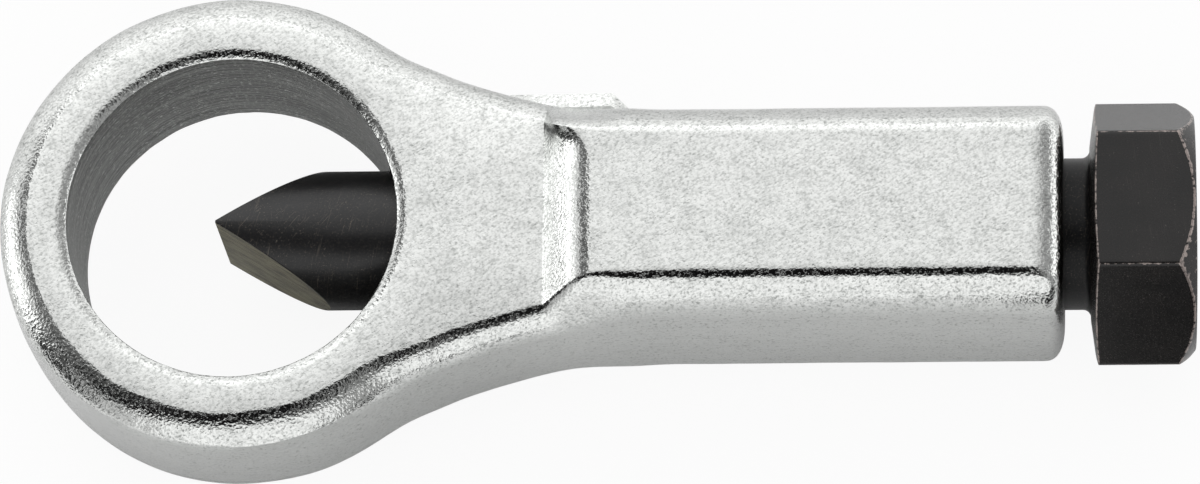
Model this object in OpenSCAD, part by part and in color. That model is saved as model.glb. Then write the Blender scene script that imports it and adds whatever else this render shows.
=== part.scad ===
// Nut splitter: a ring that goes over a seized nut, and a chisel that a screw drives into the nut.
// The origin is the centre of the ring, X runs along the chisel to the screw's head, Z across the ring.

/* [Ring] */
// Diameter of the hole that goes over the nut
ring_bore_d = 33.4; // [26:0.1:38]
// Outside diameter of the ring
ring_outer_d = 47.2; // [44:0.1:56]
// Thickness of the ring across its two faces
ring_t = 17.8; // [15:0.1:22]
// Radius of the soft outer edges of the ring
ring_edge_r = 4.1; // [1:0.1:5]
// Break at both rims of the hole
ring_rim = 0.7; // [0.2:0.1:1.5]

/* [Neck] */
// Slope of the flanks that lead from the ring to the handle, in degrees
flank_angle = 27; // [22:0.5:34]
// Radius of the hollow curve that leads each flank into the handle
flank_r = 48; // [20:1:60]
// Radius of the neck's edges
neck_edge_r = 2; // [0.5:0.1:3]
// From the ring's centre to the foot of the step up to the handle
step_foot = 32.3; // [29:0.1:36]
// Length of the step's slope along the handle
step_run = 3.3; // [1.5:0.1:6]

/* [Handle] */
// Width of the handle
handle_w = 21.8; // [20:0.1:28]
// Thickness of the handle across its two faces
handle_t = 25.6; // [23:0.1:30]
// From the ring's centre to the handle's end face
handle_end = 83.5; // [78:0.5:100]
// Bevel along the four long edges
handle_bevel = 3; // [1.5:0.1:4]
// Radius that softens both corners of the bevel
handle_soft_r = 1.5; // [0.5:0.1:2]
// Corner radius of the end face, in plan
handle_corner_r = 1.8; // [0.6:0.1:3]

/* [Guide pad] */
// From the ring's centre to the guide screw
guide_x = 33; // [31:0.1:35]
// Length of the pad's flat on each side of the guide screw
pad_reach = 5; // [3.5:0.1:6]
// Half height of the pad's flat
pad_half_h = 4.2; // [3.5:0.1:6]
// From the chisel's axis to the pad's flat
pad_y = 13.9; // [12.5:0.1:16]
// Bevel around the pad
pad_bevel = 1; // [0.4:0.1:1.5]

/* [Chisel] */
// Diameter of the chisel
chisel_d = 14.1; // [12:0.1:14.2]
// Length of the chisel from its edge to its rear face
chisel_l = 48.8; // [44:0.1:54]
// Angle between the two ground faces, in degrees
edge_angle = 64; // [50:1:80]
// Width of the blunted edge
edge_flat = 0.2; // [0.1:0.05:0.6]
// How far the edge stands past the ring's centre
edge_past_center = 1.8; // [0:0.1:8]
// Depth of the keyway in the chisel's side
keyway_depth = 1.5; // [1:0.1:2]
// Break on the chisel's rear edge
chisel_rear_break = 0.6; // [0.2:0.1:1]

/* [Screw] */
// Thread diameter of the screw
thread_d = 16; // [15.5:0.1:18]
// Diameter of the plain neck under the head
neck_d = 15.3; // [13:0.1:15.4]
// Length of the plain neck under the head
neck_l = 5.7; // [3:0.1:10]
// Hollow radius under the head
head_fillet_r = 0.8; // [0.3:0.1:1.2]
// Size of the hexagon across its flats
hex_af = 24; // [21:0.5:30]
// Height of the hexagon head
head_h = 10.4; // [7:0.1:16]
// Gap between the handle's end and the head
head_gap = 2.7; // [1:0.1:6]
// Corner cut on the outer end of the hexagon
hex_outer_cut = 1.4; // [0.4:0.1:2]
// Corner cut on the inner end of the hexagon
hex_inner_cut = 0.5; // [0.2:0.1:1]
// Diameter of the nose that enters the chisel
nose_d = 8; // [6:0.1:9]
// Length of the nose inside the chisel
nose_l = 7; // [5:0.1:9]
// Gap between the chisel's rear face and the screw's shoulder
shoulder_gap = 0.8; // [0.5:0.1:2]

/* [Small pieces] */
// Thread diameter of the guide screw
guide_d = 5; // [4:0.5:6]
// Diameter of the guide screw's dog point
dog_d = 3.5; // [2.5:0.1:3.8]
// How far the guide screw lies below the pad's flat
guide_sunk = 0.6; // [0.2:0.1:1.2]
// Size of the guide screw's hexagon socket across flats
guide_key_af = 2.5; // [1.5:0.1:2.5]
// Depth of that socket
guide_key_depth = 2.2; // [1:0.1:2.6]
// Diameter of the thrust ball
ball_d = 7.9; // [6:0.1:8]
// Wire diameter of the retaining ring
wire_d = 1; // [0.8:0.1:1.2]
// Opening of the split in the retaining ring, in degrees
wire_split = 40; // [20:5:90]

/* [Fits] */
// Radial clearance of the chisel in its guide
guide_fit = 0.05; // [0.02:0.01:0.1]
// Radial clearance of a thread in its hole
thread_fit = 0.05; // [0.02:0.01:0.1]
// Radial clearance of the nose and the ball in the chisel's socket
socket_fit = 0.06; // [0.03:0.01:0.1]
// Clearance of the dog point in the keyway
keyway_fit = 0.1; // [0.05:0.01:0.2]
// Gap between pieces that push on each other end to end
push_gap = 0.1; // [0.05:0.05:0.3]
// Room that is left at both ends of the screw's travel
end_room = 0.3; // [0.2:0.1:0.6]

/* [Hidden] */
$fn = 64;

ring_r = ring_outer_d / 2;
ring_h = ring_t / 2;
bore_r = ring_bore_d / 2;
handle_y = handle_w / 2;
handle_h = handle_t / 2;
step_top = step_foot + step_run;

// Flank: leaves the ring as a straight tangent and ends in a hollow arc on the handle's side
tangent_x = ring_r * sin(flank_angle);
tangent_y = ring_r * cos(flank_angle);
corner_x = tangent_x + (tangent_y - handle_y) / tan(flank_angle);
hollow_end = corner_x + flank_r * tan(flank_angle / 2);
hollow_start = hollow_end - flank_r * sin(flank_angle);
straight_start = max(hollow_end, step_top) + 1;

// Chisel and screw along X, in the position with the edge just past the ring's centre
chisel_r = chisel_d / 2;
edge_x = -edge_past_center;
rear_x = edge_x + chisel_l;
shoulder_x = rear_x + shoulder_gap;
nose_x = rear_x - nose_l;
ball_x = nose_x - push_gap - ball_d / 2;
socket_x = ball_x - ball_d / 2 - push_gap;
socket_r = nose_d / 2 + socket_fit;
head_x = handle_end + head_gap;
head_end = head_x + head_h;
thread_end = head_x - neck_l;
hex_corner_r = hex_af / 2 / cos(30);
thread_r = thread_d / 2;
thread_bore_r = thread_r + thread_fit;
wire_x = nose_x + nose_l / 2;
wire_r = wire_d / 2;
wire_ring_r = nose_d / 2;
wire_groove = wire_r + 2 * socket_fit;

// Travel of the chisel: forward until the head meets the handle, back until the edge leaves the hole
travel_forward = head_gap - end_room;
travel_back = edge_past_center + bore_r;
guide_end = shoulder_x - travel_forward - 3 * end_room;
keyway_y = chisel_r - keyway_depth;
keyway_half = dog_d / 2 + keyway_fit;
keyway_start = guide_x - travel_back - end_room;
keyway_stop = guide_x + travel_forward + end_room;
dog_y = keyway_y + 2 * keyway_fit;
guide_top = pad_y - guide_sunk;

steps_ring = 26;
steps_flank = 12;
steps_slope = 3;
steps_corner = 4;
last_row = 6;
edge_start_tilt = 14;

function clamp01(t) = min(1, max(0, t));
function blend(a, b, t) = a + (b - a) * t;
function soft(t) = t * t * (3 - 2 * t);

// Slope angle and half width of the forging at a place between ring and handle
function flank_slope(x) =
    x < hollow_start ? flank_angle : x < hollow_end ? asin((hollow_end - x) / flank_r) : 0;
function flank_y(x) =
    x < hollow_start ? tangent_y - (x - tangent_x) * tan(flank_angle)
                     : handle_y + flank_r * (1 - cos(flank_slope(x)));

// Edge of the forging as [inset, drop] rows from the flat face out to the side
function round_edge(r, row, first) =
    let (tilt = blend(first, 90, row / last_row))
    [r * (1 - sin(tilt)), r * (cos(first) - cos(tilt))];
function bevel_half(row) =
    let (reach = handle_bevel + handle_soft_r * tan(22.5), turn = 45 * row / 2)
    [reach - handle_soft_r * sin(turn), handle_soft_r * (1 - cos(turn))];
function bevel_edge(row) =
    row < last_row / 2 ? bevel_half(row)
    : row > last_row / 2 ? let (m = bevel_half(last_row - row)) [m[1], m[0]]
    : [handle_bevel / 2, handle_bevel / 2];
function edge_radius(x) =
    blend(ring_edge_r, neck_edge_r, soft(clamp01((x - tangent_x) / (step_foot - 2 * tangent_x))));
function slope_share(x) = clamp01((x - step_foot) / step_run);
function side_edge(x, row) =
    blend(round_edge(edge_radius(x), row, edge_start_tilt), bevel_edge(row), soft(slope_share(x)));
function face_height(x) = blend(ring_h, handle_h, slope_share(x));

// One point of the forging's skin: across the outline at a station, by the edge row
function skin_point(p, normal, x, row) =
    let (e = side_edge(x, row))
    [p[0] - normal[0] * e[0], p[1] - normal[1] * e[0], face_height(x) - e[1]];
function ring_point(angle, row) =
    skin_point([ring_r * cos(angle), ring_r * sin(angle)], [cos(angle), sin(angle)], ring_r * cos(angle), row);
function flank_point(x, row) =
    skin_point([x, flank_y(x)], [sin(flank_slope(x)), cos(flank_slope(x))], x, row);
function corner_point(turn, row) =
    let (e = blend(bevel_edge(row), round_edge(bevel_edge(0)[0], row, 0), turn / 90))
    let (r = max(handle_corner_r - e[0], 0.2), c = e[0] + r)
    [handle_end - c + r * sin(turn), handle_y - c + r * cos(turn), handle_h - e[1]];
function between(a, b, steps) = [for (k = [1:steps]) blend(a, b, k / steps)];

flank_stations = concat(
    between(tangent_x, step_foot, steps_flank),
    between(step_foot, step_top, steps_slope),
    between(step_top, straight_start, steps_slope));

// Half outline of one row, from the far left of the ring round to the handle's end
function half_row(row) = concat(
    [for (k = [0:steps_ring]) ring_point(blend(180, 90 - flank_angle, k / steps_ring), row)],
    [for (x = flank_stations) flank_point(x, row)],
    [for (k = [0:steps_corner]) corner_point(90 * k / steps_corner, row)]);
function whole_row(row, up) =
    let (half = half_row(row), n = len(half))
    concat([for (p = half) [p[0], p[1], up * p[2]]],
           [for (i = [n - 1:-1:1]) [half[i][0], -half[i][1], up * half[i][2]]]);

// The forging's skin: rows of the outline stacked from the upper face down to the lower one
module forging() {
    rows = concat([for (r = [0:last_row]) whole_row(r, 1)], [for (r = [last_row:-1:0]) whole_row(r, -1)]);
    around = len(rows[0]);
    half = (around + 1) / 2;
    bottom = (len(rows) - 1) * around;
    side_faces = [for (j = [0:len(rows) - 2], i = [0:around - 1])
        let (a = j * around + i, b = j * around + (i + 1) % around)
        each [[b, a, a + around], [b, a + around, b + around]]];
    top_strips = [for (i = [1:half - 2]) [i, i + 1, around - i - 1, around - i]];
    top_faces = concat([[0, 1, around - 1]], top_strips);
    bottom_faces = [for (f = top_faces) [for (k = [len(f) - 1:-1:0]) bottom + f[k]]];
    points = [for (row = rows) each row];
    polyhedron(points, concat(side_faces, top_faces, bottom_faces));
}

// Turns a profile of [radius, place] points about the chisel's axis
module turned_on_x(profile) {
    rotate([0, 90, 0])
        rotate_extrude()
            polygon(profile);
}

// Turns a profile of [radius, place] points about the guide screw's axis
module turned_on_guide(profile) {
    translate([guide_x, 0, 0])
        rotate([-90, 0, 0])
            rotate_extrude()
                polygon(profile);
}

// Boss on the far flank that gives the guide screw its thread length
module guide_pad() {
    foot = handle_y - handle_bevel;
    left = guide_x - pad_reach - pad_bevel;
    right = guide_x + pad_reach;
    tall = pad_half_h + pad_bevel;
    rise = pad_y - pad_bevel;
    intersection() {
        linear_extrude(2 * tall, center = true)
            polygon([[left, foot], [left, pad_y], [right, pad_y], [right + pad_y - foot, foot]]);
        translate([left, 0, 0])
            rotate([90, 0, 90])
                linear_extrude(2 * pad_reach + 4 * pad_bevel + pad_y)
                    polygon([[foot, -tall], [rise, -tall], [pad_y, -pad_half_h],
                             [pad_y, pad_half_h], [rise, tall], [foot, tall]]);
    }
}

// Hole for the nut, with both rims broken
module nut_hole() {
    past = 1;
    rotate_extrude()
        polygon([[0, -ring_h - past], [bore_r + ring_rim + past, -ring_h - past], [bore_r, ring_rim - ring_h],
                 [bore_r, ring_h - ring_rim], [bore_r + ring_rim + past, ring_h + past], [0, ring_h + past]]);
}

// Guide bore for the chisel and threaded bore for the screw, in one line
module screw_bore() {
    mouth = 1;
    guide_r = chisel_r + guide_fit;
    turned_on_x([[0, 0], [guide_r, 0], [guide_r, guide_end], [thread_bore_r, guide_end],
                 [thread_bore_r, handle_end - mouth], [thread_bore_r + 2 * mouth, handle_end + mouth],
                 [0, handle_end + mouth]]);
}

module guide_hole() {
    hole_r = guide_d / 2 + thread_fit;
    turned_on_guide([[0, 0], [hole_r, 0], [hole_r, pad_y + 1], [0, pad_y + 1]]);
}

module body() {
    color("#c9cdcb")
        difference() {
            union() {
                forging();
                guide_pad();
            }
            nut_hole();
            screw_bore();
            guide_hole();
        }
}

module chisel() {
    slope = tan(edge_angle / 2);
    past = 2;
    top_y = chisel_r + past;
    top_x = edge_x + (top_y - edge_flat / 2) / slope;
    color("#2b2b2d")
        difference() {
            intersection() {
                turned_on_x([[0, edge_x - past], [chisel_r, edge_x - past], [chisel_r, rear_x - chisel_rear_break],
                             [chisel_r - chisel_rear_break, rear_x], [0, rear_x]]);
                linear_extrude(2 * top_y, center = true)
                    polygon([[edge_x, -edge_flat / 2], [edge_x, edge_flat / 2], [top_x, top_y],
                             [rear_x + past, top_y], [rear_x + past, -top_y], [top_x, -top_y]]);
            }
            // Socket for the ball and the screw's nose, with the groove for the retaining ring
            turned_on_x([[0, socket_x], [socket_r, socket_x], [socket_r, wire_x - wire_groove],
                         [wire_ring_r + wire_groove, wire_x - wire_groove],
                         [wire_ring_r + wire_groove, wire_x + wire_groove],
                         [socket_r, wire_x + wire_groove], [socket_r, rear_x + past], [0, rear_x + past]]);
            // Keyway with round ends
            translate([0, keyway_y, 0])
                rotate([-90, 0, 0])
                    linear_extrude(keyway_depth + past) {
                        translate([keyway_start, -keyway_half])
                            square([keyway_stop - keyway_start, 2 * keyway_half]);
                        for (x = [keyway_start, keyway_stop])
                            translate([x, 0])
                                circle(keyway_half);
                    }
        }
}

// Hexagon head with its corners cut at 30 degrees on both ends
module hex_head() {
    slant = tan(30);
    outer_r = hex_corner_r - hex_outer_cut / slant;
    inner_r = hex_corner_r - hex_inner_cut / slant;
    past = 1;
    intersection() {
        translate([head_x, 0, 0])
            rotate([0, 90, 0])
                rotate(30)
                    cylinder(h = head_h, r = hex_corner_r, $fn = 6);
        turned_on_x([[0, head_x], [inner_r, head_x],
                     [hex_corner_r + past, head_x + hex_inner_cut + past * slant],
                     [hex_corner_r + past, head_end - hex_outer_cut - past * slant],
                     [outer_r, head_end], [0, head_end]]);
    }
}

module spindle() {
    nose_r = nose_d / 2;
    neck_r = neck_d / 2;
    thread_break = thread_r - neck_r + 0.4;
    groove = wire_r + socket_fit;
    nose_break = 0.4;
    fillet_steps = 4;
    fillet = [for (k = [0:fillet_steps]) let (turn = 90 * k / fillet_steps)
        [neck_r + head_fillet_r * (1 - cos(turn)), head_x - head_fillet_r * (1 - sin(turn))]];
    color("#333133")
        union() {
            turned_on_x(concat(
                [[0, nose_x], [nose_r - nose_break, nose_x], [nose_r, nose_x + nose_break],
                 [nose_r, wire_x - groove], [wire_ring_r - groove, wire_x - groove],
                 [wire_ring_r - groove, wire_x + groove], [nose_r, wire_x + groove], [nose_r, shoulder_x],
                 [thread_r - thread_break, shoulder_x], [thread_r, shoulder_x + thread_break],
                 [thread_r, thread_end - thread_break], [neck_r, thread_end]],
                fillet,
                [[neck_r + head_fillet_r, head_x + 1], [0, head_x + 1]]));
            hex_head();
        }
}

module guide_screw() {
    r = guide_d / 2;
    dog_r = dog_d / 2;
    dog_foot = chisel_r + keyway_fit + 0.5;
    break_edge = 0.4;
    color("#3a3a3c")
        difference() {
            turned_on_guide([[0, dog_y], [dog_r, dog_y], [dog_r, dog_foot], [r - break_edge, dog_foot],
                             [r, dog_foot + break_edge], [r, guide_top - break_edge],
                             [r - break_edge, guide_top], [0, guide_top]]);
            translate([guide_x, guide_top - guide_key_depth, 0])
                rotate([-90, 0, 0])
                    cylinder(h = guide_key_depth + 1, r = guide_key_af / 2 / cos(30), $fn = 6);
        }
}

module thrust_ball() {
    color("#b8babd")
        translate([ball_x, 0, 0])
            sphere(d = ball_d);
}

module retaining_ring() {
    color("#8f9193")
        translate([wire_x, 0, 0])
            rotate([0, 90, 0])
                rotate(wire_split / 2)
                    rotate_extrude(angle = 360 - wire_split)
                        translate([wire_ring_r, 0])
                            circle(wire_r);
}

body();
chisel();
spindle();
guide_screw();
thrust_ball();
retaining_ring();
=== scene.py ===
import math

import bmesh
import bpy
from mathutils import Matrix, Vector, noise


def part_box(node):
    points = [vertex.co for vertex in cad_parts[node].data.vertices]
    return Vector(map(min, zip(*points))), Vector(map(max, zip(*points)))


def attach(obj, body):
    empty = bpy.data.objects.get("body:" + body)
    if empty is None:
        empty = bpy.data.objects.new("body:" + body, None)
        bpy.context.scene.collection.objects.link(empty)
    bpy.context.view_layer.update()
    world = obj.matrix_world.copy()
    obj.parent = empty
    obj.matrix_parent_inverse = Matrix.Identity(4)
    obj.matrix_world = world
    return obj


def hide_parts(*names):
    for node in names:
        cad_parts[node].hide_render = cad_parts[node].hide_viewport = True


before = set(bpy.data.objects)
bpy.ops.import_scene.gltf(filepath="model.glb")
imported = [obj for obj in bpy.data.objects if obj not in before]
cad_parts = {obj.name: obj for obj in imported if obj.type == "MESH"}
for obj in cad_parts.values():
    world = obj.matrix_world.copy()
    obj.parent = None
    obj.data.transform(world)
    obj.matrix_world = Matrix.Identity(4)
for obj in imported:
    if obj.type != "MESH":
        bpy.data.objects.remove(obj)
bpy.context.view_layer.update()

# The forging: ring, neck and handle are one drop forging of steel, tumbled and then zinc plated bright.
# Its flanks are ground where the flash was trimmed, and the nut hole and the bores are machined.
mm = 0.001
body_low, body_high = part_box("body")
ring_r = -body_low.x
handle_end = body_high.x
handle_h = body_high.z
ring_h = 8.9 * mm
handle_y = 10.9 * mm
flank_angle = math.radians(29.5)
hollow_r = 62 * mm
step_foot = 32 * mm
step_run, far_run, far_corner_r = 4 * mm, 1.3 * mm, 3.8 * mm
ring_edge_r, neck_edge_r = 5.3 * mm, 3.7 * mm
edge_start, edge_end = math.radians(14), math.radians(55)
bevel = 3 * mm
side_belly = 0.3 * mm
brow_r, hip_r = 2.6 * mm, 6 * mm
end_reach, end_drop, end_fullness = 3.9 * mm, 3.2 * mm, 2.5
hole_r = 16.7 * mm
rim_r = 2.4 * mm
rim_tilt = (math.radians(6), math.radians(36))
rim_break = 0.045 * mm
pad_y = 13.9 * mm
pad_x = (27.5 * mm, 38 * mm)
pad_half_h = 4.4 * mm

tangent_x = ring_r * math.sin(flank_angle)
tangent_y = ring_r * math.cos(flank_angle)
hollow_end = tangent_x + (tangent_y - handle_y) / math.tan(flank_angle)
hollow_end += hollow_r * math.tan(flank_angle / 2)
hollow_start = hollow_end - hollow_r * math.sin(flank_angle)


def mix(a, b, share):
    return a + (b - a) * share


def ease(share):
    share = min(1, max(0, share))
    return share * share * (3 - 2 * share)


def soft_max(a, b, radius):
    """The larger of a and b, with a fillet of about that radius where they cross."""
    overlap = max(0, radius - abs(a - b)) / radius
    return max(a, b) + overlap * overlap * radius / 4


def flank(x):
    """Half width of the forging between ring and handle, and the slope of its side there."""
    if x < hollow_start:
        return tangent_y - (x - tangent_x) * math.tan(flank_angle), flank_angle
    slope = math.asin(max(0, hollow_end - x) / hollow_r)
    return handle_y + hollow_r * (1 - math.cos(slope)), slope


def step_share(x, run):
    """How far the face has climbed from the neck to the handle, with a sharp foot and a round top."""
    top_soft = 0.2
    along = (x - step_foot) / run
    return min(1, max(0, along) - max(0, soft_max(0, along - 1, 2 * top_soft)))


def round_edge(radius, t, last_tilt):
    """Inset and drop along a rounded edge, t going from the face out to the side."""
    tilt = mix(edge_start, last_tilt, t)
    return radius * Vector((math.sin(last_tilt) - math.sin(tilt), math.cos(edge_start) - math.cos(tilt)))


def bevel_edge(t):
    """Inset and drop along the handle's bevel: a round brow, the bevel's flat and a wide round hip."""
    brow_share, hip_share, nearly = 0.5, 0.7, 1e-6
    set_back = math.tan(math.pi / 8)
    if t < brow_share:
        turn = math.pi / 4 * t / brow_share
        return Vector((bevel + brow_r * (set_back - math.sin(turn)), brow_r * (1 - math.cos(turn))))
    if t > hip_share:
        turn = math.pi / 4 * (1 - t) / (1 - hip_share)
        return Vector((hip_r * (1 - math.cos(turn)), bevel + hip_r * (set_back - math.sin(turn))))
    brow_end, hip_start = bevel_edge(brow_share - nearly), bevel_edge(hip_share + nearly)
    return mix(brow_end, hip_start, (t - brow_share) / (hip_share - brow_share))


def side_station(point, outward, x, run=step_run):
    """A place on the outline as a function that gives the edge's points there.
    The trimmed ring has a crease below its edge, and neck and handle are round there.
    At the step the face climbs within its run, and the side takes a longer way up."""
    side_run, side_from = 9 * mm, 0.7
    face_share = step_share(x, run)
    side_share = ease((x - step_foot) / side_run)
    neck_share = ease((x - tangent_x) / (step_foot - 2 * tangent_x))
    last_tilt = mix(edge_end, math.pi / 2, neck_share)
    radius = mix(ring_edge_r, neck_edge_r, neck_share)
    place = point.to_3d() / mm
    radius *= 1 + 0.06 * noise.noise(place / 5) + 0.015 * noise.noise(place / 1.6)

    def at(t):
        share = mix(face_share, side_share, ease(t / side_from))
        inset, drop = mix(round_edge(radius, t, last_tilt), bevel_edge(t), share)
        height = mix(ring_h, handle_h, share)
        return Vector((point.x - outward.x * inset, point.y - outward.y * inset, height - drop))

    return at


def ring_station(angle):
    outward = Vector((math.cos(angle), math.sin(angle)))
    return side_station(ring_r * outward, outward, ring_r * outward.x)


def flank_station(x, run):
    y, slope = flank(x)
    return side_station(Vector((x, y)), Vector((math.sin(slope), math.cos(slope))), x, run)


def end_station(share):
    """A cross-section of the handle's end, which the end's round edge draws in as the share goes to 1.
    The rounding reaches less far along the handle at its sides than on its faces."""
    side_reach, side_from = 0.55, 0.6
    turn, power = math.pi / 2 * share, 2 / end_fullness
    back_share = 1 - math.sin(turn) ** power
    drawn_in = end_drop * (1 - abs(math.cos(turn)) ** power)

    def at(t):
        inset, drop = bevel_edge(t)
        reach = end_reach * mix(1, side_reach, ease(t / side_from))
        x = handle_end - reach * back_share
        return Vector((x, handle_y - drawn_in - inset, handle_h - drawn_in - drop))

    return at


def spread(start, end, count):
    """Places from start to end, without the start itself."""
    return [mix(start, end, k / count) for k in range(1, count + 1)]


def pad_reach(x, z):
    """How far out the guide screw's pad stands at a place on the far flank."""
    ring_slope, ledge_slope, ledge_w = 1.2, 3, 0.15 * mm
    past_end = max(0, x - pad_x[1], ring_slope * (pad_x[0] - x))
    past_side = max(0, abs(z) - pad_half_h)
    return pad_y - past_end - past_side - ledge_slope * max(0, past_side - ledge_w)


def weathered(p, share, half_h):
    """A point of the skin, moved by the slight unevenness and belly that hammering and grinding leave."""
    swell = noise.noise(p / (9 * mm)) * 0.05 * mm + noise.noise(p / (3.5 * mm)) * 0.02 * mm
    belly = side_belly * max(0, 1 - (p.z / half_h) ** 2)
    outward = Vector((min(p.x, 0), p.y, 0)).normalized()
    return p + outward * (swell * share + belly)


def column(station, side, edge_rows=16, side_rows=44):
    """The skin's points at one station, from the upper face over the side to the lower face.
    The side's rows keep their heights from station to station, so that the pad's ledges run straight."""
    rows_h, least_gap = 4.9 * mm, 0.1 * mm
    pad_from, pad_to, pad_top, pad_fillet_r = pad_x[0] - 4 * mm, pad_x[1] + 6 * mm, 7 * mm, 0.5 * mm
    edge = [station(k / edge_rows) for k in range(edge_rows + 1)]
    brink = edge[-1]
    top = min(rows_h, brink.z - least_gap)
    points = edge + [Vector((brink.x, brink.y, mix(top, -top, k / side_rows))) for k in range(side_rows + 1)]
    points += [Vector((p.x, p.y, -p.z)) for p in reversed(edge)]
    placed = []
    for k, p in enumerate(points):
        if side > 0 and pad_from < p.x < pad_to and abs(p.z) < pad_top:
            p.y = soft_max(p.y, pad_reach(p.x, p.z), pad_fillet_r)
        from_face = min(k, len(points) - 1 - k)
        placed.append(weathered(Vector((p.x, side * p.y, p.z)), min(1, from_face / edge_rows), brink.z))
    return placed


def hole_profile(angle, rim_steps=7, wall_steps=10):
    """Radius and height along the hole's wall at one angle, from the upper rim to the lower one.
    The rims roll over unevenly and end in a small broken lip."""
    around = Vector((math.cos(angle), math.sin(angle), 0)) * hole_r / mm
    lip_w = rim_break * max(0.2, 1 + 1.6 * noise.noise(around / 1.1))
    radius = rim_r * (1 + 0.16 * noise.noise(around / 4) + 0.08 * noise.noise(around / 1.3))
    first, last = rim_tilt
    rim = []
    for tilt in [first] + spread(first, last, rim_steps)[:-1] + [0.97 * last, last]:
        inset = radius * (math.sin(last) - math.sin(tilt))
        drop = radius * (math.cos(first) - math.cos(tilt))
        rim.append(Vector((hole_r + lip_w + inset, ring_h - drop)))
    lip = rim[-1] - Vector((lip_w, 1.6 * lip_w))
    bulge = lip + Vector((0.2, 1.3)) * lip_w
    rim += [mix(mix(rim[-1], bulge, s), lip, s) for s in (0.4, 0.75, 1)]
    wall = [Vector((hole_r, z)) for z in spread(lip.y, -lip.y, wall_steps)][:-1]
    return rim + wall + [Vector((p.x, -p.y)) for p in reversed(rim)]


def forged_skin():
    """The closed skin of the forging with the nut hole in it."""
    bm = bmesh.new()
    slope_end = step_foot + 1.3 * step_run
    straight_end = handle_end - end_reach - 0.3 * mm
    ring_places = [math.pi] + spread(math.pi, math.pi / 2 - flank_angle, 96)
    neck_places = spread(tangent_x, step_foot, 44)
    step_places = spread(step_foot, slope_end, 30)
    handle_places = spread(slope_end, hollow_end, 10) + spread(hollow_end, straight_end, 30)
    end_shares = [0] + spread(0, 1, 18)
    foot = len(ring_places + neck_places) - 1
    brow = foot + len(step_places)
    flat_end = brow + len(handle_places)

    def columns(side, run):
        stations = [ring_station(a) for a in ring_places]
        stations += [flank_station(x, run) for x in neck_places + step_places + handle_places]
        stations += [end_station(share) for share in end_shares]
        return [[bm.verts.new(p) for p in column(s, side)] for s in stations]

    def strip(a, b):
        for k in range(len(a) - 1):
            bm.faces.new((a[k], b[k], b[k + 1], a[k + 1])).smooth = True

    def bridge(a, b, x=None, count=24):
        """A row of points from the near side to the far one. At a place x on the step the row follows
        the slope, which gets shorter round the far corner."""
        points = [a]
        for k in range(1, count):
            p = mix(a.co, b.co, (1 - math.cos(math.pi * k / count)) / 2)
            if x is not None:
                past = min(1, max(0, p.y - b.co.y + far_corner_r) / far_corner_r)
                run = mix(step_run, far_run, 1 - math.sqrt(1 - past * past))
                p.z = math.copysign(mix(ring_h, handle_h, step_share(x, run)), b.co.z)
            points.append(bm.verts.new(p))
        return points + [b]

    # The edges and sides, whose two halves share the column at the ring's end
    far, near = columns(1, far_run), columns(-1, step_run)
    for extra in near[0]:
        bm.verts.remove(extra)
    near[0] = far[0]
    last = len(far) - 1
    for k in range(last):
        strip(far[k + 1], far[k])
        strip(near[k], near[k + 1])

    # The end face, and the rows of the upper and lower decks over step and handle
    end = [bridge(a, b) for a, b in zip(near[last], far[last])]
    for a, b in zip(end, end[1:]):
        strip(b, a)
    decks = {}
    for row in (0, -1):
        decks[row] = [bridge(near[foot + k][row], far[foot + k][row], x)
                      for k, x in enumerate([step_foot] + step_places)]
        decks[row] += [bridge(near[k][row], far[k][row]) for k in range(brow + 1, last)] + [end[row]]

    # The hole's wall, from rim to rim
    around = 288
    turns = [2 * math.pi * k / around for k in range(around)]
    hole = [[bm.verts.new((r * math.cos(a), r * math.sin(a), z)) for r, z in hole_profile(a)] for a in turns]
    for k in range(around):
        strip(hole[k - 1], hole[k])

    # The decks' faces, and a filled sheet from the step's foot round the hole
    for row, deck in decks.items():
        for k in range(len(deck) - 1):
            for j in range(len(deck[k]) - 1):
                face = bm.faces.new((deck[k][j], deck[k + 1][j], deck[k + 1][j + 1], deck[k][j + 1]))
                face.smooth = not brow <= foot + k < flat_end
        outline = [c[row] for c in reversed(near[1:foot + 1])] + [c[row] for c in far[:foot + 1]]
        outline += reversed(deck[0][1:-1])
        rim = [c[row] for c in hole]
        edges = []
        for loop in (outline, rim):
            for a, b in zip(loop, loop[1:] + loop[:1]):
                edges.append(bm.edges.get((a, b)) or bm.edges.new((a, b)))
        filled = bmesh.ops.triangle_fill(bm, use_beauty=True, edges=edges, normal=(0, 0, 1 + 2 * row))
        for face in filled["geom"]:
            if isinstance(face, bmesh.types.BMFace):
                face.smooth = False
    bmesh.ops.recalc_face_normals(bm, faces=bm.faces)
    return bm


crisp_angle = math.radians(32)


def placed_piece(name, bm):
    """A mesh as an object of the scene, with its sharper edges kept crisp."""
    mesh = bpy.data.meshes.new(name)
    bm.to_mesh(mesh)
    bm.free()
    mesh.set_sharp_from_angle(angle=crisp_angle)
    obj = bpy.data.objects.new(name, mesh)
    bpy.context.scene.collection.objects.link(obj)
    return obj


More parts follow.
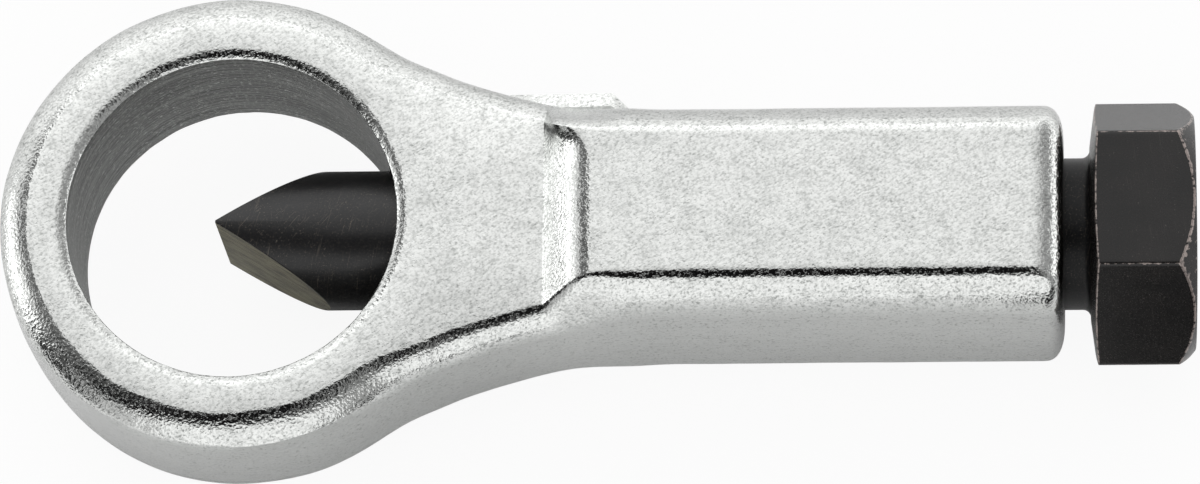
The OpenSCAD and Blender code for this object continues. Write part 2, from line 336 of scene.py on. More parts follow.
def turned(profile, axis="X", at=0, around=96):
    """A closed turned solid: (radius, place) points about an axis, the first and last of them on it."""
    bm = bmesh.new()

    def spun(r, place, a):
        across = (r * math.cos(a), r * math.sin(a))
        return (place, *across) if axis == "X" else (at + across[1], place, across[0])

    ends = [bm.verts.new(spun(*profile[0], 0)), bm.verts.new(spun(*profile[-1], 0))]
    rings = [[bm.verts.new(spun(r, place, 2 * math.pi * k / around)) for k in range(around)]
             for r, place in profile[1:-1]]
    for k in range(around):
        bm.faces.new((ends[0], rings[0][k], rings[0][k - 1]))
        bm.faces.new((ends[1], rings[-1][k - 1], rings[-1][k]))
        for a, b in zip(rings, rings[1:]):
            bm.faces.new((a[k - 1], a[k], b[k], b[k - 1]))
    for face in bm.faces:
        face.smooth = True
    bmesh.ops.recalc_face_normals(bm, faces=bm.faces)
    return bm


def cut(obj, cutter_mesh):
    """Takes a solid out of a piece for good."""
    cutter = placed_piece(obj.name + "_cut", cutter_mesh)
    carve = obj.modifiers.new("cut", "BOOLEAN")
    carve.operation, carve.solver, carve.object = "DIFFERENCE", "EXACT", cutter
    shaped = bpy.data.meshes.new_from_object(obj.evaluated_get(bpy.context.evaluated_depsgraph_get()))
    obj.modifiers.clear()
    obj.data = shaped
    obj.data.set_sharp_from_angle(angle=crisp_angle)
    bpy.data.objects.remove(cutter)


guide_bore_r, guide_bore_start, guide_bore_end = 7.1 * mm, 2 * mm, 44.5 * mm
thread_bore_r, mouth = 8.05 * mm, 0.3 * mm
guide_screw_x, guide_hole_r, guide_hole_start = 33 * mm, 2.55 * mm, 3 * mm
sink_depth, sink_past, sink_w = 0.4 * mm, 0.6 * mm, 1 * mm
forging = placed_piece("forging", forged_skin())
cut(forging, turned([(0, guide_bore_start), (guide_bore_r, guide_bore_start),
                     (guide_bore_r, guide_bore_end), (thread_bore_r, guide_bore_end),
                     (thread_bore_r, handle_end - mouth), (thread_bore_r + 2 * mouth, handle_end + mouth),
                     (0, handle_end + mouth)]))
cut(forging, turned([(0, guide_hole_start), (guide_hole_r, guide_hole_start),
                     (guide_hole_r, pad_y - sink_depth), (guide_hole_r + sink_w, pad_y + sink_past),
                     (0, pad_y + sink_past)], axis="Y", at=guide_screw_x, around=48))


class Finish:
    """A value in a finish's node tree. Arithmetic on values adds Math nodes to the same tree."""

    def __init__(self, tree, socket=None):
        self.tree = tree
        self.socket = socket

    def node(self, kind, settings=None, sockets=None, out=0):
        """Adds a node: its settings first, then the values or links of its sockets. Gives one output."""
        made = self.tree.nodes.new(kind)
        for name, value in (settings or {}).items():
            setattr(made, name, value)
        for name, value in (sockets or {}).items():
            if isinstance(value, Finish):
                self.tree.links.new(value.socket, made.inputs[name])
            else:
                made.inputs[name].default_value = value
        return Finish(self.tree, made.outputs[out] if made.outputs else None)

    def math(self, operation, *values):
        return self.node("ShaderNodeMath", {"operation": operation}, dict(enumerate(values)))

    def __add__(self, other):
        return self.math("ADD", self, other)

    def __sub__(self, other):
        return self.math("SUBTRACT", self, other)

    def __rsub__(self, other):
        return self.math("SUBTRACT", other, self)

    def __mul__(self, other):
        return self.math("MULTIPLY", self, other)

    def __truediv__(self, other):
        return self.math("DIVIDE", self, other)

    def __rtruediv__(self, other):
        return self.math("DIVIDE", other, self)

    def __abs__(self):
        return self.math("ABSOLUTE", self)

    __radd__ = __add__
    __rmul__ = __mul__

    def larger(self, other):
        return self.math("MAXIMUM", self, other)

    def ramp(self, low, high):
        """0 below low and 1 above high, with a smooth rise between. low may be the larger one."""
        return self.node("ShaderNodeMapRange", {"interpolation_type": "SMOOTHSTEP"},
                         {"Value": self, "From Min": low, "From Max": high})

    def place(self):
        """The place on the piece, in the piece's own frame."""
        return self.node("ShaderNodeTexCoord", out="Object")

    def facing(self):
        """The direction that the surface faces, in the piece's own frame, as its three parts."""
        return self.parts(self.node("ShaderNodeTexCoord", out="Normal"))

    def parts(self, vector):
        split = self.node("ShaderNodeSeparateXYZ", sockets={0: vector})
        return [Finish(self.tree, s) for s in split.socket.node.outputs]

    def speckle(self, grain, turn=0, detail=2, rough=0.5):
        """Noise whose grain has that size along X, Y and Z, turned about Z."""
        laid = self.node("ShaderNodeMapping", {"vector_type": "TEXTURE"},
                         {"Vector": self.place(), "Rotation": (0, 0, math.radians(turn)), "Scale": grain})
        return self.node("ShaderNodeTexNoise", sockets={"Vector": laid, "Scale": 1, "Detail": detail,
                                                        "Roughness": rough})

    def tint(self, a, b, share):
        """A colour between a and b."""
        return self.node("ShaderNodeMix", {"data_type": "RGBA"}, {0: share, 6: a, 7: b}, out=2)

    def relief(self, height, depth, strength):
        """The surface's direction, tilted by the slopes of a height."""
        return self.node("ShaderNodeBump",
                         sockets={"Strength": strength, "Distance": depth, "Height": height})

    def surface(self, **sockets):
        """Closes the tree with a Principled shader. In a socket's name, _ stands for a space."""
        named = {name.replace("_", " "): value for name, value in sockets.items()}
        shader = self.node("ShaderNodeBsdfPrincipled", sockets=named)
        self.node("ShaderNodeOutputMaterial", sockets={"Surface": shader})


def finish(name):
    """A new material without nodes, and a Finish that adds nodes to it."""
    material = bpy.data.materials.new(name)
    material.use_nodes = True
    material.node_tree.nodes.clear()
    return material, Finish(material.node_tree)


def coated(obj, material):
    obj.data.materials.clear()
    obj.data.materials.append(material)


def zinc_plate():
    """Bright zinc: tumbled grain on the faces, grinding lines on the flanks, turning lines in the hole."""
    # The soiled colour serves both the real dirt and the painted shade on the flanks
    bright, dirt_and_shade = (0.7, 0.71, 0.695, 1), (0.3, 0.31, 0.3, 1)
    # The hole's colours: duller machined metal darkened further with painted shade, and painted glints
    dull_and_shaded, painted_glint = (0.11, 0.115, 0.11, 1), (0.7, 0.71, 0.7, 1)
    material, f = finish("zinc_plate")
    # Where on the forging, by place and by how far the surface faces up or down
    x, y, z = f.parts(f.place())
    up = abs(f.facing()[2])
    from_axis = f.math("SQRT", x * x + y * y)
    in_hole = from_axis.ramp(hole_r + 0.5 * mm, hole_r + 0.3 * mm) * up.ramp(0.55, 0.35)
    on_side = up.ramp(0.5, 0.08)
    on_face = up.ramp(0.08, 0.5).larger(x.ramp(32 * mm, 42 * mm) * 0.75)
    on_edge = on_face * up.ramp(0.997, 0.965)
    at_step = x.ramp(step_foot - 1.6 * mm, step_foot - 0.4 * mm)
    at_step = at_step * x.ramp(step_foot + 6 * mm, step_foot + 5 * mm)
    at_ends = x.ramp(26 * mm, 18 * mm).larger(x.ramp(75 * mm, 78 * mm))
    battered = on_edge * at_ends + at_step * 0.35
    # Grains and spots of the faces, then of the flanks, the hole and the whole forging
    dashes = f.speckle((0.5 * mm, 0.18 * mm, 0.25 * mm), turn=30, detail=2, rough=0.55) - 0.5
    grain = f.speckle((0.3 * mm, 0.3 * mm, 0.3 * mm), detail=1, rough=0.5) - 0.5
    pocks = f.speckle((0.34 * mm, 0.3 * mm, 0.32 * mm), detail=2, rough=0.6)
    pocks = (pocks + on_edge * 0.03).ramp(0.6, 0.68)
    dents = f.speckle((1.3 * mm, 1.3 * mm, 1.3 * mm), detail=1) - 0.5
    lines = f.speckle((9 * mm, 0.22 * mm, 0.16 * mm), detail=2) - 0.5
    nicks = f.speckle((0.9 * mm, 0.4 * mm, 0.16 * mm), detail=3, rough=0.6).ramp(0.68, 0.76)
    rings = f.speckle((14 * mm, 14 * mm, 0.2 * mm), detail=3, rough=0.65)
    glints = f.speckle((0.45 * mm, 0.45 * mm, 0.16 * mm), detail=2, rough=0.55).ramp(0.58, 0.68)
    swell = f.speckle((4 * mm, 4 * mm, 4 * mm), detail=1)
    smudge = f.speckle((6 * mm, 4 * mm, 5 * mm), turn=20, detail=4, rough=0.65)
    stained = smudge.ramp(0.5, 0.75)
    clouds = f.speckle((2.6 * mm, 1.8 * mm, 2.2 * mm), turn=-25, detail=4, rough=0.7)
    # The height of the fine relief
    tumbled = grain * (0.2 + on_edge * 0.07 + battered * 0.28) + dashes * 0.1 - pocks * 0.1 + dents * 0.2
    ground = lines * 0.25 + grain * 0.05 - nicks * 0.2
    bored = rings * 0.6 + glints * 0.3
    height = on_face * tumbled + (1 - on_face) * ground
    height = (1 - in_hole) * height + in_hole * bored + swell * 0.6
    # The colour: plate that is darker in its grain and dirt, with painted shade on the flanks, and the duller
    # hole, painted darker for its shade and given painted glints
    marks = dashes.ramp(0.05, -0.2) * (0.34 + stained * 0.3)
    marks = marks + grain.ramp(0.08, -0.2) * 0.34 + clouds.ramp(0.4, 0.8) * 0.3
    # Painted shade: the flanks get darker towards the bottom and on the ring, as the nearby floor's shade
    # makes them look
    painted_shade = z.ramp(5 * mm, -12 * mm) * 0.35 + x.ramp(36 * mm, 22 * mm) * 0.25
    face_dirt = marks + pocks * (0.2 + on_edge * (0.3 - 0.25 * at_step)) + stained * 0.06
    side_dirt_and_shade = painted_shade + marks * 0.35 + pocks * 0.6 + nicks * 0.8 + lines.ramp(0, -0.2) * 0.15
    plate = f.tint(bright, dirt_and_shade, (1 - on_side) * face_dirt + on_side * side_dirt_and_shade)
    # The hole's wall: painted shade with painted glints on the turning lines
    shaded_bore = f.tint(dull_and_shaded, painted_glint, rings.ramp(0.4, 0.62) * 0.35 + glints * 0.9)
    f.surface(Base_Color=f.tint(plate, shaded_bore, in_hole), Metallic=1.0,
              Roughness=0.05 + smudge * 0.07 + in_hole * 0.2, Normal=f.relief(height, 0.09 * mm, 1))
    return material


coated(forging, zinc_plate())
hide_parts("body")
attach(forging, "forged_frame")

# The chisel: a round bar of hardened tool steel, blacked all over, with two faces ground to an edge.
# It slides in the forging, a keyway in its far side holds it straight, and its rear takes the screw's nose.
chisel_low, chisel_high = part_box("chisel")
chisel_r = chisel_high.z
edge_x, rear_x = chisel_low.x, chisel_high.x
half_edge_angle = math.radians(32)
edge_half_w, edge_break = 0.1 * mm, 0.16 * mm
rear_break = 0.6 * mm
socket_r, socket_x = 4.06 * mm, 31.9 * mm
ring_groove_r, ring_groove_x, ring_groove_half = 4.62 * mm, 43.5 * mm, 0.62 * mm
keyway_x, keyway_half, keyway_bottom = (14.2 * mm, 35.7 * mm), 1.85 * mm, 5.55 * mm


def ground_x(y):
    """How far back the ground faces lie at a distance y from the edge's plane."""
    return edge_x + max(0, abs(y) - edge_half_w) / math.tan(half_edge_angle)


def chisel_bar():
    """The bar as lines along it, one for each angle, that start on the ground faces."""
    bm = bmesh.new()
    ground = bm.faces.layers.int.new("ground")
    break_steps, quarter, gap = 3, 40, 0.5 * mm
    groove = (ring_groove_x - ring_groove_half, ring_groove_x + ring_groove_half)
    rear = [(rear_x - rear_break, chisel_r), (rear_x, chisel_r - rear_break), (rear_x, socket_r),
            (groove[1], socket_r), (groove[1], ring_groove_r), (groove[0], ring_groove_r),
            (groove[0], socket_r), (socket_x, socket_r)]
    shank = spread(ground_x(chisel_r) + gap, rear_x - rear_break - gap, 24)
    # Angles from the top of the bar, out to the near side, down to the foot and back up the far side
    first = math.asin(edge_half_w / chisel_r)
    lean = [mix(first, math.pi / 2, (k / quarter) ** 1.3) for k in range(quarter + 1)]
    angles = [-a for a in lean] + [a - math.pi for a in reversed(lean[:-1])]
    angles += [-a - math.pi for a in lean] + [a - 2 * math.pi for a in reversed(lean[:-1])]
    lines = []
    for a in angles:
        y, z = chisel_r * math.sin(a), chisel_r * math.cos(a)
        soft = min(edge_break, abs(z) * 0.45)
        corner = Vector((ground_x(y), y, z))
        start, end = corner - Vector((0, 0, math.copysign(soft, z))), corner + Vector((soft, 0, 0))
        points = [mix(mix(start, corner, t), mix(corner, end, t), t) for t in [0] + spread(0, 1, break_steps)]
        points += [Vector((s, y, z)) for s in shank]
        points += [Vector((s, y * r / chisel_r, z * r / chisel_r)) for s, r in rear]
        lines.append([bm.verts.new(p) for p in points])
    bottom = bm.verts.new((socket_x, 0, 0))
    for k in range(len(lines)):
        a, b = lines[k - 1], lines[k]
        for j in range(len(a) - 1):
            bm.faces.new((a[j], b[j], b[j + 1], a[j + 1])).smooth = True
        bm.faces.new((a[-1], b[-1], bottom)).smooth = True
    # The ground faces and the blunt edge: strips across the bar between lines of equal height
    per_side = 2 * quarter + 1
    near, far = lines[:per_side], lines[per_side:]
    for side in (near, far):
        for k in range(quarter):
            corners = [side[k][0], side[k + 1][0], side[-2 - k][0], side[-1 - k][0]]
            bm.faces.new(list(dict.fromkeys(corners)))[ground] = 1
    bm.faces.new((near[0][0], near[-1][0], far[0][0], far[-1][0]))[ground] = 1
    bmesh.ops.recalc_face_normals(bm, faces=bm.faces)
    return bm


def keyway():
    """The cutter for the keyway: a slot with round ends."""
    bm = bmesh.new()
    past, steps = 2 * mm, 16
    half_turn = [math.pi * k / steps for k in range(steps + 1)]
    rim = [(keyway_x[1] + keyway_half * math.sin(a), keyway_half * math.cos(a)) for a in half_turn]
    rim += [(keyway_x[0] - keyway_half * math.sin(a), -keyway_half * math.cos(a)) for a in half_turn]
    low = [bm.verts.new((x, keyway_bottom, z)) for x, z in rim]
    high = [bm.verts.new((x, chisel_r + past, z)) for x, z in rim]
    bm.faces.new(low)
    bm.faces.new(high)
    for k in range(len(rim)):
        bm.faces.new((low[k - 1], low[k], high[k], high[k - 1])).smooth = True
    bmesh.ops.recalc_face_normals(bm, faces=bm.faces)
    return bm


def black_oxide(name, base=(0.0055, 0.0055, 0.0062, 1), rough=0.34, shine=0.46):
    """Blacked steel with a soft sheen, hairline scratches and dusty spots."""
    scratched = (0.24, 0.205, 0.165, 1)
    material, f = finish(name)
    cloud = f.speckle((5 * mm, 3 * mm, 3 * mm), detail=3)
    hair_a = f.speckle((6 * mm, 0.1 * mm, 0.1 * mm), turn=50, detail=1)
    hair_b = f.speckle((0.1 * mm, 5 * mm, 4 * mm), turn=-14, detail=1)
    dust = f.speckle((0.2 * mm, 0.2 * mm, 0.2 * mm), detail=2, rough=0.6)
    hairs = hair_a.ramp(0.66, 0.76).larger(hair_b.ramp(0.67, 0.78)) * cloud.ramp(0.35, 0.6)
    specks = dust.ramp(0.63, 0.74) * cloud.ramp(0.36, 0.56)
    pale = hairs.larger(specks) * 0.3 + dust.ramp(0.45, 0.75) * 0.05
    f.surface(Base_Color=f.tint(base, scratched, pale), Roughness=rough + (cloud - 0.5) * 0.16,
              Normal=f.relief(dust * 0.5 - hairs * 0.6, 0.014 * mm, 0.7), Specular_IOR_Level=shine)
    return material


def ground_steel():
    """Bare steel with the lines of the grinding wheel, which run back from the edge, and a few stains."""
    bare, dark = (0.37, 0.335, 0.2, 1), (0.03, 0.028, 0.02, 1)
    material, f = finish("chisel_ground")
    lines = f.speckle((7 * mm, 7 * mm, 0.09 * mm), detail=3, rough=0.6)
    stain = f.speckle((2.5 * mm, 2.5 * mm, 1.2 * mm), detail=4, rough=0.6)
    colour = f.tint(bare, dark, lines.ramp(0.34, 0.66) * 0.7 + stain.ramp(0.4, 0.7) * 0.4)
    f.surface(Base_Color=colour, Metallic=0.55, Roughness=0.42, Normal=f.relief(lines, 0.016 * mm, 0.8))
    return material


chisel = placed_piece("chisel_bar", chisel_bar())
chisel.data.materials.append(black_oxide("chisel_black"))
chisel.data.materials.append(ground_steel())
for polygon, is_ground in zip(chisel.data.polygons, chisel.data.attributes["ground"].data):
    polygon.material_index = is_ground.value
cut(chisel, keyway())
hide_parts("chisel")
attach(chisel, "chisel_group")


# The small pieces: a thrust ball and a wire ring between chisel and screw, and a blacked set screw with a
# dog point that the forging's pad holds. The solids are already right, so they only get their finish.
def polished_steel():
    """Hardened steel with a slight haze and fine polishing lines."""
    clean, hazy = (0.56, 0.57, 0.58, 1), (0.4, 0.4, 0.4, 1)
    material, f = finish("polished_steel")
    haze = f.speckle((1.2 * mm, 1.2 * mm, 1.2 * mm), detail=3)
    lines = f.speckle((0.06 * mm, 2 * mm, 2 * mm), detail=1)
    f.surface(Base_Color=f.tint(clean, hazy, haze), Metallic=1.0, Roughness=0.16 + haze * 0.14,
              Normal=f.relief(lines, 0.004 * mm, 0.3))
    return material


bright_steel = polished_steel()
for node in ("thrust_ball", "retaining_ring"):
    coated(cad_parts[node], bright_steel)
coated(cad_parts["guide_screw"], black_oxide("set_screw_black", rough=0.42))

# The screw: one turned and blacked bar with a right-hand thread of fine pitch, a plain neck under its
# hexagon head and a nose that pushes the chisel. Spanners have worn the hexagon's edges bare.
screw_low, screw_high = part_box("spindle")
head_end = screw_high.x
hex_flat = screw_high.z
hex_corner = screw_high.y
head_x = 86.1 * mm
outer_cut, inner_cut = math.tan(math.radians(40)), math.tan(math.radians(7.5))
outer_face_r, inner_face_r = hex_corner - 1.75 * mm / outer_cut, 8.8 * mm
corner_soft_r, edge_soft, least_cut = 0.5 * mm, 0.12 * mm, 0.12 * mm
neck_r, head_fillet_r = 7.65 * mm, 0.8 * mm
thread_r, thread_pitch = 8 * mm, 1.5 * mm
thread_depth = 0.61 * thread_pitch
shoulder_x, thread_end = 47.8 * mm, 80.5 * mm
shoulder_run, shoulder_break = 0.4 * mm, 0.8 * mm
nose_r, nose_x, nose_break = 4 * mm, screw_low.x, 0.4 * mm
wire_groove_r, wire_groove_half = 3.44 * mm, 0.56 * mm


def hex_radius(from_corner):
    """Radius of the hexagon at an angle from the nearest corner, with the corner slightly rounded."""
    centre = (hex_flat - corner_soft_r) / math.cos(math.pi / 6)
    to_flat = math.pi / 6 - abs(from_corner)
    if to_flat < math.atan(centre / 2 / hex_flat):
        return hex_flat / math.cos(to_flat)
    across = centre * math.sin(from_corner)
    return centre * math.cos(from_corner) + math.sqrt(corner_soft_r ** 2 - across ** 2)


def rounded(before, here, after):
    """Points that round off one corner of a path."""
    start = here + (before - here).normalized() * min(edge_soft, (before - here).length * 0.4)
    end = here + (after - here).normalized() * min(edge_soft, (after - here).length * 0.4)
    return [mix(mix(start, here, t), mix(here, end, t), t) for t in (0, 0.25, 0.5, 0.75, 1)]


def hex_head():
    """The head as lines along it, one for each angle, whose ends follow the cut corners.
    Each point also holds how bare it has been worn."""
    bm = bmesh.new()
    wear = bm.verts.layers.float.new("bare")
    worn_w, face_wear, cut_wear = 0.22 * mm, 0.6, 0.4
    along, inward = Vector((worn_w, 0)), Vector((0, -worn_w))
    middle = Vector((head_end, 1 * mm))
    half = 18
    leans = [math.pi / 6 * (k / half) ** 1.8 for k in range(half + 1)]
    leans = [-a for a in reversed(leans)] + leans[1:-1]
    lines = []
    for turn, lean in [(corner * math.pi / 3, lean) for corner in range(6) for lean in leans]:
        r = hex_radius(lean)
        inner_r, outer_r = min(inner_face_r, r - least_cut), min(outer_face_r, r - least_cut)
        neck, inner, outer = Vector((head_x, neck_r)), Vector((head_x, inner_r)), Vector((head_end, outer_r))
        heel = Vector((head_x + (r - inner_r) * inner_cut, r))
        toe = Vector((head_end - (r - outer_r) * outer_cut, r))
        at_corner = max(0, 1 - abs(lean) * hex_corner / worn_w)
        points = [(neck, 0), (inner + inward, 0)]
        points += [(p, face_wear) for p in rounded(neck, inner, heel)]
        points += [(mix(inner, heel, s), 0) for s in (0.4, 0.6)]
        points += [(p, 1) for p in rounded(inner, heel, toe)]
        points += [(p, at_corner) for p in [heel + along] + spread(heel + along, toe - along, 5)]
        points += [(p, 1) for p in rounded(heel, toe, outer)]
        points += [(mix(toe, outer, s), cut_wear) for s in (0.4, 0.6)]
        points += [(p, face_wear) for p in rounded(toe, outer, middle)]
        points += [(outer + inward, 0), (mix(outer, middle, 0.5), 0), (middle, 0)]
        line = []
        for p, bare in points:
            line.append(bm.verts.new((p.x, p.y * math.cos(turn + lean), p.y * math.sin(turn + lean))))
            line[-1][wear] = bare
        lines.append(line)
    for k in range(len(lines)):
        a, b = lines[k - 1], lines[k]
        for j in range(len(a) - 1):
            bm.faces.new((a[j], b[j], b[j + 1], a[j + 1])).smooth = True
    bm.faces.new([line[0] for line in lines])
    bm.faces.new([line[-1] for line in lines])
    bmesh.ops.recalc_face_normals(bm, faces=bm.faces)
    return bm


def thread_radius(x, turns):
    """Radius of the thread at a place along it, and so many turns on. It fades out at both ends."""
    crest, root, fade_in, fade_out, end_run = 0.16, 0.2, 1.2 * thread_pitch, 1.6 * thread_pitch, 0.7 * mm
    from_crest = abs((turns % 1) - 0.5) * 2
    depth = min(1, max(0, (from_crest - crest) / (1 - crest - root)))
    fade = min(1, max(0, min((x - shoulder_x) / fade_in, (thread_end - x) / fade_out)))
    crest_r = mix(neck_r, thread_r, min(1, max(0, (thread_end - x) / end_run)))
    return crest_r - thread_depth * depth * fade


def screw_shank():
    """Nose, thread and neck: lines that wind with the thread, so that its crest and root stay crisp."""
    bm = bmesh.new()
    around, per_turn, fillet_steps, into_head = 64, 16, 6, 0.2 * mm
    groove = (ring_groove_x - wire_groove_half, ring_groove_x + wire_groove_half)
    nose = [(nose_x, nose_r - nose_break), (nose_x + nose_break, nose_r), (groove[0], nose_r),
            (groove[0], wire_groove_r), (groove[1], wire_groove_r), (groove[1], nose_r),
            (shoulder_x, nose_r), (shoulder_x, thread_r - shoulder_break)]
    neck = [(mix(thread_end, head_x - head_fillet_r, 0.5), neck_r)]
    for turn in [math.pi / 2 * k / fillet_steps for k in range(fillet_steps + 1)]:
        neck.append((head_x - head_fillet_r * (1 - math.sin(turn)),
                     neck_r + head_fillet_r * (1 - math.cos(turn))))
    neck.append((head_x + into_head, neck_r + head_fillet_r))
    thread = []
    rows = int((thread_end - shoulder_x) / thread_pitch * per_turn)
    for k in range(per_turn + rows + 1):
        ring = []
        for j in range(around):
            wound = (k - per_turn + per_turn * j / around) / per_turn * thread_pitch
            x = min(shoulder_x + shoulder_run + max(wound, 0), thread_end)
            ring.append((x, thread_radius(x, (x - shoulder_x) / thread_pitch - j / around)))
        thread.append(ring)
    angles = [2 * math.pi * j / around for j in range(around)]
    lines = []
    for ring in [[p] * around for p in nose] + thread + [[p] * around for p in neck]:
        lines.append([bm.verts.new((x, r * math.cos(a), r * math.sin(a))) for a, (x, r) in zip(angles, ring)])
    for a, b in zip(lines, lines[1:]):
        for j in range(around):
            bm.faces.new((a[j - 1], a[j], b[j], b[j - 1])).smooth = True
    bm.faces.new(lines[0])
    bm.faces.new(lines[-1])
    bmesh.ops.remove_doubles(bm, verts=bm.verts, dist=1e-7)
    bmesh.ops.recalc_face_normals(bm, faces=bm.faces)
    return bm


def worn_black():
    """Blacked steel, browner where it has been handled and bare along the edges that spanners rub."""
    black, brown = (0.003, 0.0028, 0.0027, 1), (0.012, 0.0102, 0.0094, 1)
    scuffed, steel = (0.07, 0.062, 0.057, 1), (0.34, 0.29, 0.27, 1)
    material, f = finish("worn_black")
    near_edge = f.node("ShaderNodeAttribute", {"attribute_name": "bare"}, out="Fac")
    chips = f.speckle((0.7 * mm, 0.5 * mm, 0.5 * mm), detail=4, rough=0.65)
    cloud = f.speckle((6 * mm, 4 * mm, 4 * mm), detail=3)
    grain = f.speckle((0.16 * mm, 0.16 * mm, 0.16 * mm), detail=1)
    bare = (near_edge + (chips - 0.5) * 2.6).ramp(0.75, 1.05)
    hairs = f.speckle((0.08 * mm, 5 * mm, 5 * mm), turn=8, detail=2, rough=0.6).ramp(0.6, 0.75)
    dust = f.speckle((0.24 * mm, 0.24 * mm, 0.24 * mm), detail=2).ramp(0.66, 0.74)
    skin = f.tint(black, brown, cloud.ramp(0.35, 0.7) * 0.4 + grain.ramp(0.35, 0.7) * 0.5)
    skin = f.tint(skin, scuffed, (hairs * 0.2).larger(dust * 0.7) * cloud.ramp(0.35, 0.6))
    f.surface(Base_Color=f.tint(skin, steel, bare * 0.85), Roughness=0.25 + (grain - 0.5) * 0.14,
              Metallic=bare * 0.6, Normal=f.relief(grain + chips * 0.6, 0.01 * mm, 0.7),
              Specular_IOR_Level=0.36)
    return material


head = placed_piece("hexagon_head", hex_head())
coated(head, worn_black())
shank = placed_piece("screw_shank", screw_shank())
coated(shank, black_oxide("screw_black", base=(0.005, 0.0053, 0.006, 1), rough=0.32, shine=0.17))
for piece in (head, shank):
    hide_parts("spindle")
    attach(piece, "screw_group")


# The floor and the light: a white sweep under a large soft box that hangs above and behind the tool, with
# pale panels and walls round the horizon. The dark gaps between them draw the lines on the forging's edges.
def white_sweep():
    """A matt floor that holds the tool's shadow. The camera sees it as white, and so does the metal where it
    lies clear of the tool, but for a painted dark reflection: a patch in front of the screw's head that only
    metal sees."""
    centre_x, reach_x, reach_y = 36 * mm, 95 * mm, 60 * mm
    white, dark_reflection, matt_white = (1, 1, 1, 1), (0.025, 0.025, 0.025, 1), (0.9, 0.9, 0.9, 1)
    material, f = finish("white_sweep")
    x, y = f.parts(f.place())[:2]
    across, deep = (x - centre_x) / reach_x, y / reach_y
    clear = f.math("SQRT", across * across + deep * deep).ramp(0.75, 1.6)
    camera_ray, through_ray, glossy_ray = [
        f.node("ShaderNodeLightPath", out=kind)
        for kind in ("Is Camera Ray", "Is Transmission Ray", "Is Glossy Ray")]
    direct = camera_ray.larger(through_ray) * (0.92 + 0.08 * clear)
    # Painted reflection: a dark patch that only glossy rays see, darkening the screw head's reflection of the
    # floor
    dark_reflection_patch = glossy_ray * y.ramp(-30 * mm, -60 * mm) * x.ramp(78 * mm, 90 * mm)
    shown = direct.larger(dark_reflection_patch).larger(glossy_ray * clear)
    matt = f.node("ShaderNodeBsdfDiffuse", sockets={"Color": matt_white})
    plain = f.node("ShaderNodeEmission", sockets={"Color": f.tint(white, dark_reflection, dark_reflection_patch), "Strength": 1})
    mixed = f.node("ShaderNodeMixShader", sockets={0: shown, 1: matt, 2: plain})
    f.node("ShaderNodeOutputMaterial", sockets={"Surface": mixed})
    return material


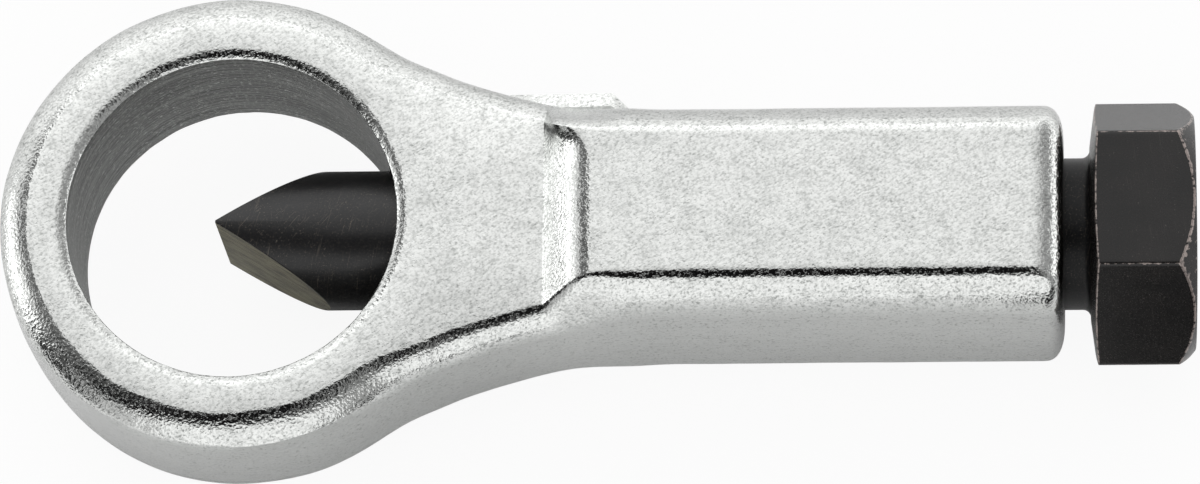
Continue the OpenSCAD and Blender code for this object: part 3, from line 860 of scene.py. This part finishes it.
def studio():
    """The light by direction: x to the right of the tool, y behind it and z above. The camera sees white."""
    soft_box, dim_room, left_glow, right_glow = 1.2, 0.008, 0.2, 0.42
    near_panel, left_panel, right_panel, back_wall, corner_panel = 1.3, 1.6, 1.6, 1.3, 0.75
    world = bpy.data.worlds.new("studio")
    world.use_nodes = True
    world.node_tree.nodes.clear()
    w = Finish(world.node_tree)
    x, y, z = w.parts(w.node("ShaderNodeTexCoord", out="Generated"))
    # The soft box is a sheet overhead with one slanted side, brighter towards the back
    height = z.larger(0.02)
    across, deep = x / height, y / height
    in_box = (across + 0.6 * (deep - 0.3).larger(0)).ramp(-0.64, -0.52) * x.ramp(0.85, 0)
    in_box = in_box * deep.ramp(-0.15, -0.03) * deep.ramp(2.4, 1.5)
    box_level = soft_box * (0.78 + 0.7 * w.math("MINIMUM", deep.larger(0), 1))
    left = left_panel * x.ramp(-0.72, -0.84) * y.ramp(-0.24, -0.08) * (0.6 + 0.8 * x.ramp(-0.86, -0.96))
    right = right_panel * x.ramp(0.8, 0.88) * y.ramp(-0.3, -0.05)
    near = near_panel * y.ramp(-0.6, -0.7) * abs(x).ramp(0.62, 0.46)
    back = back_wall * y.ramp(0.2, 0.6) * z.ramp(0.62, 0.45)
    corner = corner_panel * x.ramp(-0.35, -0.45) * x.ramp(-0.88, -0.72)
    corner = corner * y.ramp(-0.2, -0.3) * z.ramp(0.55, 0.42)
    level = dim_room + left_glow * x.ramp(-0.1, -0.5) * y.ramp(-0.5, 0) + right_glow * x.ramp(0.1, 0.6)
    for lit in (in_box * box_level, near, left, right, back, corner):
        level = level.larger(lit)
    level = level + (1 - level) * w.node("ShaderNodeLightPath", out="Is Camera Ray")
    light = w.node("ShaderNodeBackground", sockets={"Color": (1, 1, 1, 1), "Strength": level})
    w.node("ShaderNodeOutputWorld", sockets={"Surface": light})
    return world


floor_half = 0.4
floor_mesh = bmesh.new()
bmesh.ops.create_grid(floor_mesh, x_segments=8, y_segments=8, size=floor_half)
floor = placed_piece("floor", floor_mesh)
floor.location.z = body_low.z
coated(floor, white_sweep())
bpy.context.scene.world = studio()

fill = bpy.data.objects.new("fill", bpy.data.lights.new("fill", "AREA"))
fill.data.shape, fill.data.size, fill.data.energy = "DISK", 0.7, 1.25
fill.location = (0.05, -0.2, 0.7)
fill.rotation_euler = (0.28, 0, 0)
fill.visible_glossy = False
bpy.context.scene.collection.objects.link(fill)

# The camera: a long lens that looks down on the tool from the near side, as far away, as high and as
# slightly turned about its own axis as the one that took the photograph.
azimuth, elevation, roll = math.radians(11.67), math.radians(72.12), math.radians(-11.66)
target = Vector((36.59 * mm, -0.36 * mm, 0))
distance = 712.3 * mm
level_back = Vector((math.sin(azimuth), -math.cos(azimuth), 0)) * math.cos(elevation)
back = level_back + Vector((0, 0, math.sin(elevation)))
right = Vector((0, 0, 1)).cross(back).normalized()
rise = back.cross(right)
rolled_right = math.cos(roll) * right + math.sin(roll) * rise
rolled_rise = math.cos(roll) * rise - math.sin(roll) * right
camera = bpy.data.objects.new("camera", bpy.data.cameras.new("camera"))
camera.data.sensor_width = 36
camera.data.lens = 211.1
camera.data.clip_start, camera.data.clip_end = 0.01, 20
aim = Matrix((rolled_right, rolled_rise, back)).transposed().to_4x4()
camera.matrix_world = Matrix.Translation(target + distance * back) @ aim
bpy.context.scene.collection.objects.link(camera)
bpy.context.scene.camera = camera
bpy.context.scene.view_settings.view_transform = "Standard"
